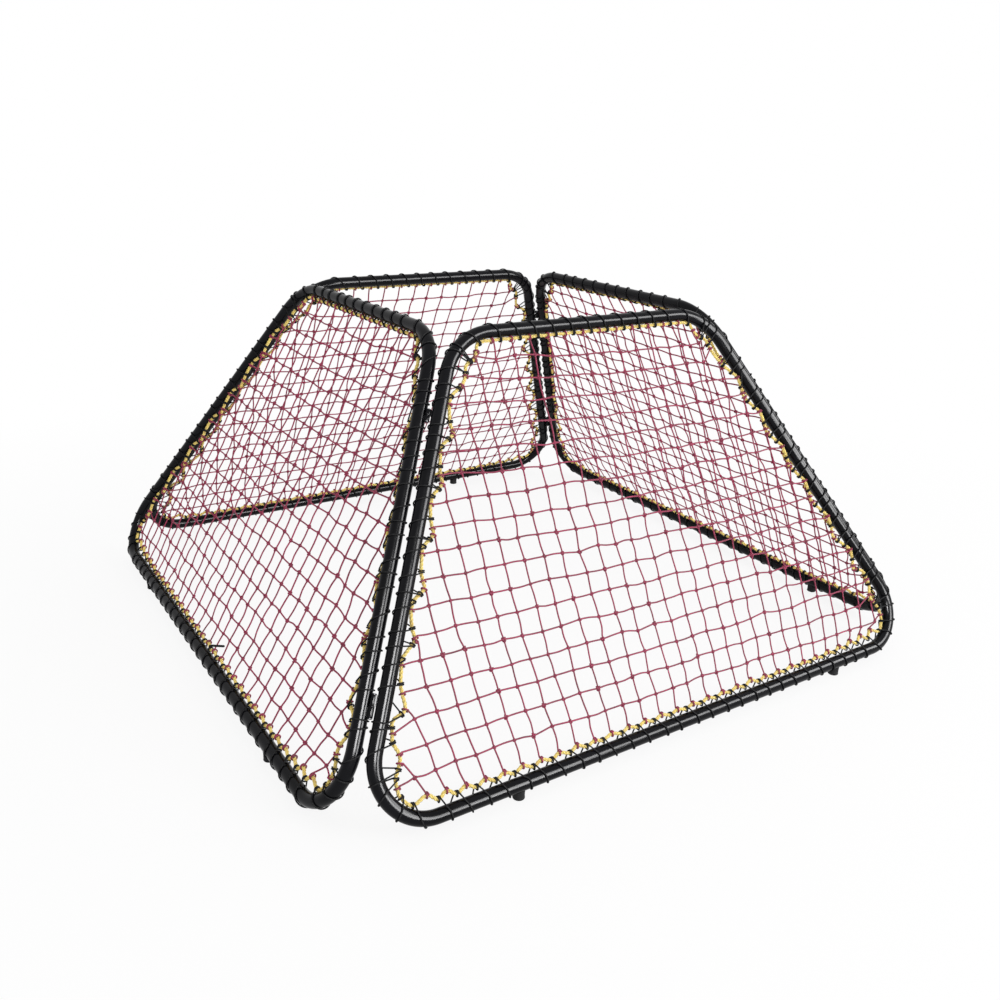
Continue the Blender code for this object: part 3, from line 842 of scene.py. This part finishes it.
def knuckle_mesh(name, length, side, hook):
    """A barrel round the pin, with its web and welds to the tube on that side."""
    skin = Skin()
    add_barrel(skin, length, side, hook)
    centre = np.array((side * TUBE_SPACING / 2, HINGE_OFFSET, 0.0))
    apart = norm(centre)
    towards = centre / apart
    axes = np.array((towards, (-towards[1], towards[0], 0.0), (0.0, 0.0, 1.0)))
    add_web(skin, length, apart, axes)
    add_welds(skin, length, apart, axes)
    return edged(skin, name)


def pin_mesh(name, length):
    """A pin through two knuckles, with a domed head at each end."""
    neck = length + HEAD_GAP
    end = neck + PIN_HEAD
    upper = [(PIN_RADIUS, neck), (PIN_HEAD_RADIUS, neck + HEAD_SLANT)]
    upper += [(share * PIN_HEAD_RADIUS, end - drop * PIN_HEAD) for share, drop in DOME]
    lower = [(radius, -height) for radius, height in upper[::-1]]
    rings = turned(lower + upper, PIN_SIDES)
    skin = Skin()
    skin.wrap(rings, stations(rings[:, 0]))
    return edged(skin, name)


# Materials
NOISE_ROUGHNESS = 0.55


class Nodes:
    """Helpers for the nodes of a material or the world."""

    def __init__(self, made):
        made.use_nodes = True
        self.made = made
        self.tree = made.node_tree

    def feed(self, socket, value):
        """Gives a socket a link from another node, a colour or a number."""
        if isinstance(value, bpy.types.NodeSocket):
            self.tree.links.new(value, socket)
        else:
            socket.default_value = (*value, 1.0) if isinstance(value, tuple) else value

    def node(self, kind, inputs=None, **settings):
        made = self.tree.nodes.new(kind)
        for name, value in settings.items():
            setattr(made, name, value)
        for which, value in (inputs or {}).items():
            self.feed(made.inputs[which], value)
        return made

    def calculate(self, kind, first, second=0.0):
        return self.node("ShaderNodeMath", {0: first, 1: second}, operation=kind).outputs[0]

    def range(self, factor, low, high, start=0.0, end=1.0):
        """The factor from start to end, spread over low to high."""
        inputs = {"Value": factor, "From Min": start, "From Max": end, "To Min": low, "To Max": high}
        return self.node("ShaderNodeMapRange", inputs).outputs["Result"]

    def seen(self):
        """1 for what the camera sees, also in gloss or glass, and 0 for what only lights the object."""
        path = self.node("ShaderNodeLightPath").outputs
        either = self.calculate("MAXIMUM", path["Is Camera Ray"], path["Is Glossy Ray"])
        return self.calculate("MAXIMUM", either, path["Is Transmission Ray"])


class Finish(Nodes):
    """A material with a Principled shader."""

    def __init__(self, name, roughness, specular=0.5, metallic=0.0):
        super().__init__(bpy.data.materials.new(name))
        self.shader = self.tree.nodes["Principled BSDF"]
        self.set("Roughness", roughness)
        self.set("Specular IOR Level", specular)
        self.set("Metallic", metallic)

    def set(self, socket, value):
        self.feed(self.shader.inputs[socket], value)

    def place(self):
        return self.node("ShaderNodeTexCoord").outputs["Object"]

    def noise(self, vector, scale, detail=3.0):
        inputs = {"Vector": vector, "Scale": scale, "Detail": detail, "Roughness": NOISE_ROUGHNESS}
        return self.node("ShaderNodeTexNoise", inputs).outputs["Fac"]

    def ramp(self, factor, stops):
        made = self.node("ShaderNodeValToRGB", {"Fac": factor})
        elements = made.color_ramp.elements
        while len(elements) < len(stops):
            elements.new(0.5)
        for element, (place, colour) in zip(elements, stops):
            element.position = place
            element.color = (*colour, 1.0)
        return made.outputs["Color"]

    def mix(self, factor, first, second):
        """The second colour over the first; sockets 6 and 7 are the node's two colours."""
        inputs = {"Factor": factor, 6: first, 7: second}
        return self.node("ShaderNodeMix", inputs, data_type="RGBA").outputs[2]

    def bump(self, height, distance, strength=1.0):
        made = self.node("ShaderNodeBump", {"Height": height, "Distance": distance, "Strength": strength})
        self.set("Normal", made.outputs["Normal"])

    def twist(self, lay, plies):
        """A wave that runs round the strand as its plies do: 0 in the grooves and 1 on the plies."""
        along = self.node("ShaderNodeUVMap", uv_map="Along").outputs["UV"]
        split = self.node("ShaderNodeSeparateXYZ", {"Vector": along}).outputs
        turns = self.calculate("DIVIDE", split["X"], lay)
        angle = self.calculate("ADD", self.calculate("MULTIPLY", split["Y"], plies), turns)
        wave = self.calculate("COSINE", self.calculate("MULTIPLY", angle, tau))
        return self.range(wave, low=0.0, high=1.0, start=-1.0), along


# Colours, and ramps of them: where each stands, and its red, green and blue
PAINT = ((0.35, (0.003, 0.003, 0.004)), (0.70, (0.006, 0.006, 0.008)))
MAROON = ((0.36, (0.120, 0.020, 0.036)), (0.48, (0.340, 0.009, 0.064)), (0.66, (0.500, 0.014, 0.105)))
# painted shade: darker maroon for the grooves between the twine's plies
MAROON_GROOVE_SHADE = (0.090, 0.005, 0.018)
YELLOW = ((0.30, (0.800, 0.460, 0.060)), (0.45, (0.900, 0.700, 0.130)), (0.62, (0.950, 0.820, 0.300)))
YELLOW_WORN = (0.420, 0.170, 0.030)
# painted shade: darker orange for the grooves between the rope's yarns
YELLOW_GROOVE_SHADE = (0.450, 0.250, 0.030)
BLACK_CORD = ((0.30, (0.003, 0.003, 0.004)), (0.70, (0.009, 0.009, 0.010)))
BLACK_RUBBER = ((0.30, (0.005, 0.005, 0.006)), (0.75, (0.011, 0.011, 0.012)))
BLACK_STEEL = ((0.30, (0.030, 0.030, 0.032)), (0.70, (0.060, 0.060, 0.064)))
PALE_FLOOR = (0.86, 0.86, 0.86)
WHITE = (1.0, 1.0, 1.0)
# Length of one turn of the plies, and how many there are
TWINE_LAY, TWINE_PLIES = 0.0085, 3
YARN_LAY, YARN_PLIES = 0.012, 4
LACE_LAY, LACE_PLIES = 0.006, 4


def coated_steel():
    """Satin black coating, a little uneven."""
    finish = Finish("coated_steel", roughness=0.3, specular=0.09)
    place = finish.place()
    finish.set("Base Color", finish.ramp(finish.noise(place, scale=9.0), PAINT))
    rough = finish.range(finish.noise(place, scale=40.0), low=0.15, high=0.22, start=0.3, end=0.7)
    finish.set("Roughness", rough)
    finish.bump(finish.noise(place, scale=260.0, detail=2.0), distance=0.00002)
    return finish.made


def twine():
    """Laid maroon twine, faded in stretches, with painted shade between its plies."""
    finish = Finish("maroon_twine", roughness=0.8, specular=0.2)
    plies, along = finish.twist(TWINE_LAY, TWINE_PLIES)
    colour = finish.ramp(finish.noise(along, scale=9.0, detail=2.0), MAROON)
    # painted shade in the grooves between the plies, where the twist wave is low
    finish.set("Base Color", finish.mix(finish.range(plies, low=0.5, high=0.0), colour, MAROON_GROOVE_SHADE))
    finish.set("Sheen Weight", 0.15)
    finish.bump(plies, distance=0.0004, strength=0.8)
    return finish.made


def yellow_rope():
    """Yellow rope of fine yarns, uneven in colour, with worn and dirty places and painted shade between its
    yarns.
    """
    finish = Finish("yellow_rope", roughness=0.75, specular=0.25)
    yarns, along = finish.twist(YARN_LAY, YARN_PLIES)
    colour = finish.ramp(finish.noise(along, scale=26.0), YELLOW)
    dirt = finish.noise(finish.place(), scale=38.0)
    worn = finish.mix(finish.range(dirt, low=0.0, high=0.55, start=0.55, end=0.8), colour, YELLOW_WORN)
    # painted shade in the grooves between the yarns, where the yarn wave is low
    finish.set("Base Color", finish.mix(finish.range(yarns, low=0.35, high=0.0), worn, YELLOW_GROOVE_SHADE))
    finish.set("Sheen Weight", 0.2)
    finish.bump(yarns, distance=0.0004, strength=0.7)
    return finish.made


def black_lace():
    """Dull black cord."""
    finish = Finish("black_lace", roughness=0.75, specular=0.08)
    plies, along = finish.twist(LACE_LAY, LACE_PLIES)
    finish.set("Base Color", finish.ramp(finish.noise(along, scale=60.0), BLACK_CORD))
    finish.bump(plies, distance=0.0003, strength=0.7)
    return finish.made


def rubber():
    """Black rubber with a fine grain."""
    finish = Finish("black_rubber", roughness=0.62, specular=0.12)
    place = finish.place()
    finish.set("Base Color", finish.ramp(finish.noise(place, scale=120.0), BLACK_RUBBER))
    finish.bump(finish.noise(place, scale=900.0, detail=2.0), distance=0.0001)
    return finish.made


def blackened_steel():
    """Dark bare steel of the pins, rubbed unevenly."""
    finish = Finish("blackened_steel", roughness=0.4, metallic=1.0)
    place = finish.place()
    finish.set("Base Color", finish.ramp(finish.noise(place, scale=260.0), BLACK_STEEL))
    rough = finish.range(finish.noise(place, scale=500.0), low=0.32, high=0.52, start=0.3, end=0.7)
    finish.set("Roughness", rough)
    return finish.made


# Putting the pieces in place
SEEDS = {"front": 11, "right": 12, "back": 13, "left": 14}


def shown(name, data, matrix):
    """A new object in the scene."""
    piece = bpy.data.objects.new(name, data)
    bpy.context.scene.collection.objects.link(piece)
    piece.matrix_world = matrix
    return piece


def put(mesh, side, matrix, slot, node):
    """Gives a piece its finish, and its panel and slot, and hides its solid."""
    mesh.materials.append(FINISHES[slot])
    piece = shown(mesh.name, mesh, matrix)
    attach(piece, side + "_panel")
    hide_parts(node)


def dress_panel(index, side):
    """The tube, netting, rope and lacing of one panel."""
    chance = np.random.default_rng(SEEDS[side])
    knots = knot_places(side, chance)
    points, strands, laced = edge_rope(knots, chance)
    rope = off_the_tube(spline(points, ROPE_STEPS, closed=True), TUBE_RADIUS + ROPE_RADIUS + TOUCH)
    matrix = panel_matrix(index)
    put(tube_mesh(side + "_tube"), side, matrix, "frame_paint", side + "_frame")
    netting = net_mesh(side + "_netting", knots, rope, strands, chance)
    put(netting, side, matrix, "net_twine", side + "_net")
    put(rope_mesh(side + "_rope", rope), side, matrix, "edge_cord", side + "_edge_cord")
    lace = lace_mesh(side + "_lace", rope, laced, set(strands.values()), side, chance)
    put(lace, side, matrix, "lacing_cord", side + "_lacing")


def dress_feet(index, side):
    for number, across in enumerate(FEET[side], start=1):
        where = placed(index, (across, -HALF_SQUARE, AXIS_HEIGHT))
        put(foot_mesh(f"{side}_pad_{number}"), side, where, "foot_rubber", f"{side}_foot_{number}")


def dress_hinges(index, corner):
    """The pin stays in the knuckle above, of the panel that holds it; the other panel turns on it below."""
    holder, turner, side = HINGES[corner]
    axis = corner_matrix(index)
    hook = corner == OPEN_CORNER
    for level, station, length in LEVELS:
        name = corner + "_" + level
        heights = (station + SEAT / 2, station, station - SEAT / 2 - length)
        above, middle, below = (axis @ Matrix.Translation((0.0, 0.0, height)) for height in heights)
        eye = knuckle_mesh(name + "_pin_eye", length, side, False)
        put(eye, holder, above, "frame_paint", name + "_pin_knuckle")
        other = knuckle_mesh(name + ("_catch" if hook else "_eye"), length, -side, hook)
        put(other, turner, below, "frame_paint", name + ("_hook" if hook else "_knuckle"))
        put(pin_mesh(name + "_rivet", length), holder, middle, "pin_steel", name + "_pin")


# Floor and surroundings
FLOOR_RADIUS = 60.0
FLOOR_SIDES = 96
GLOW_NEAR = 0.87  # of the floor as the camera sees it, within GLOW_START of the middle
GLOW_FAR = 1.0  # from GLOW_END outwards
GLOW_START = 1.0
GLOW_END = 2.4
WORLD_LIGHT = 0.85  # that falls on the object
WORLD_SEEN = 1.0  # that the camera sees, which is white


def floor():
    bpy.ops.mesh.primitive_circle_add(vertices=FLOOR_SIDES, radius=FLOOR_RADIUS, fill_type="NGON")
    piece = bpy.context.object
    piece.name = "floor"
    finish = Finish("pale_floor", roughness=0.9, specular=0.1)
    finish.set("Base Color", PALE_FLOOR)
    distance = finish.node("ShaderNodeVectorMath", {0: finish.place()}, operation="LENGTH").outputs["Value"]
    glow = finish.range(distance, GLOW_NEAR, GLOW_FAR, GLOW_START, GLOW_END)
    share = finish.calculate("MULTIPLY", finish.seen(), glow)
    emission = finish.node("ShaderNodeEmission").outputs[0]
    mixed = finish.node("ShaderNodeMixShader", {0: share, 1: finish.shader.outputs[0], 2: emission})
    finish.feed(finish.tree.nodes["Material Output"].inputs["Surface"], mixed.outputs[0])
    piece.data.materials.append(finish.made)


def world():
    made = bpy.data.worlds.new("studio")
    bpy.context.scene.world = made
    nodes = Nodes(made)
    background = nodes.tree.nodes["Background"].inputs
    nodes.feed(background["Color"], WHITE)
    nodes.feed(background["Strength"], nodes.range(nodes.seen(), WORLD_LIGHT, WORLD_SEEN))


# Lights: place, target, width, height and power. The cards show in gloss only, as the streaks on the tubes.
KEY = ((1.9, -3.9, 2.5), (0.0, 0.0, 0.4), 2.0, 1.3, 80.0)
CARDS = {"side_card": ((2.30, -2.94, 1.83), (0.0, 0.0, 0.4), 3.5, 1.27, 440.0),
         "near_card": ((-1.05, -2.24, 1.40), (-0.65, -0.68, 0.2), 0.8, 0.8, 190.0),
         "low_card": ((0.95, -3.85, 0.95), (0.6, -0.6, 0.3), 1.5, 0.9, 210.0)}


def area_light(name, where, target, width, height, power, diffuse):
    light = bpy.data.lights.new(name, "AREA")
    light.shape = "RECTANGLE"
    light.size = width
    light.size_y = height
    light.energy = power
    facing = (Vector(target) - Vector(where)).to_track_quat("-Z", "Y").to_matrix().to_4x4()
    piece = shown(name, light, Matrix.Translation(where) @ facing)
    piece.visible_camera = False
    piece.visible_diffuse = diffuse


def lights():
    area_light("key", *KEY, diffuse=True)
    for name, card in CARDS.items():
        area_light(name, *card, diffuse=False)


# The photograph's view
CAMERA_PLACE = (-1.2934, -1.9815, 1.1462)
CAMERA_AZIMUTH = radians(-33.745)
CAMERA_ELEVATION = radians(20.559)
CAMERA_ROLL = radians(2.02)
SENSOR_WIDTH = 36.0
FOCAL_LENGTH = 34.44


def camera():
    level = Matrix.Rotation(CAMERA_AZIMUTH, 4, "Z") @ Matrix.Rotation(pi / 2 - CAMERA_ELEVATION, 4, "X")
    facing = level @ Matrix.Rotation(CAMERA_ROLL, 4, "Z")
    data = bpy.data.cameras.new("camera")
    data.sensor_width = SENSOR_WIDTH
    data.lens = FOCAL_LENGTH
    bpy.context.scene.camera = shown("camera", data, Matrix.Translation(CAMERA_PLACE) @ facing)


bpy.context.scene.view_settings.view_transform = "Standard"
FINISHES = {"frame_paint": coated_steel(), "net_twine": twine(), "edge_cord": yellow_rope(),
            "lacing_cord": black_lace(), "foot_rubber": rubber(), "pin_steel": blackened_steel()}
for number, panel in enumerate(PANELS):
    dress_panel(number, panel)
for number, panel in enumerate(PANELS):
    dress_feet(number, panel)
for number, corner in enumerate(HINGES):
    dress_hinges(number, corner)
floor()
world()
lights()
camera()
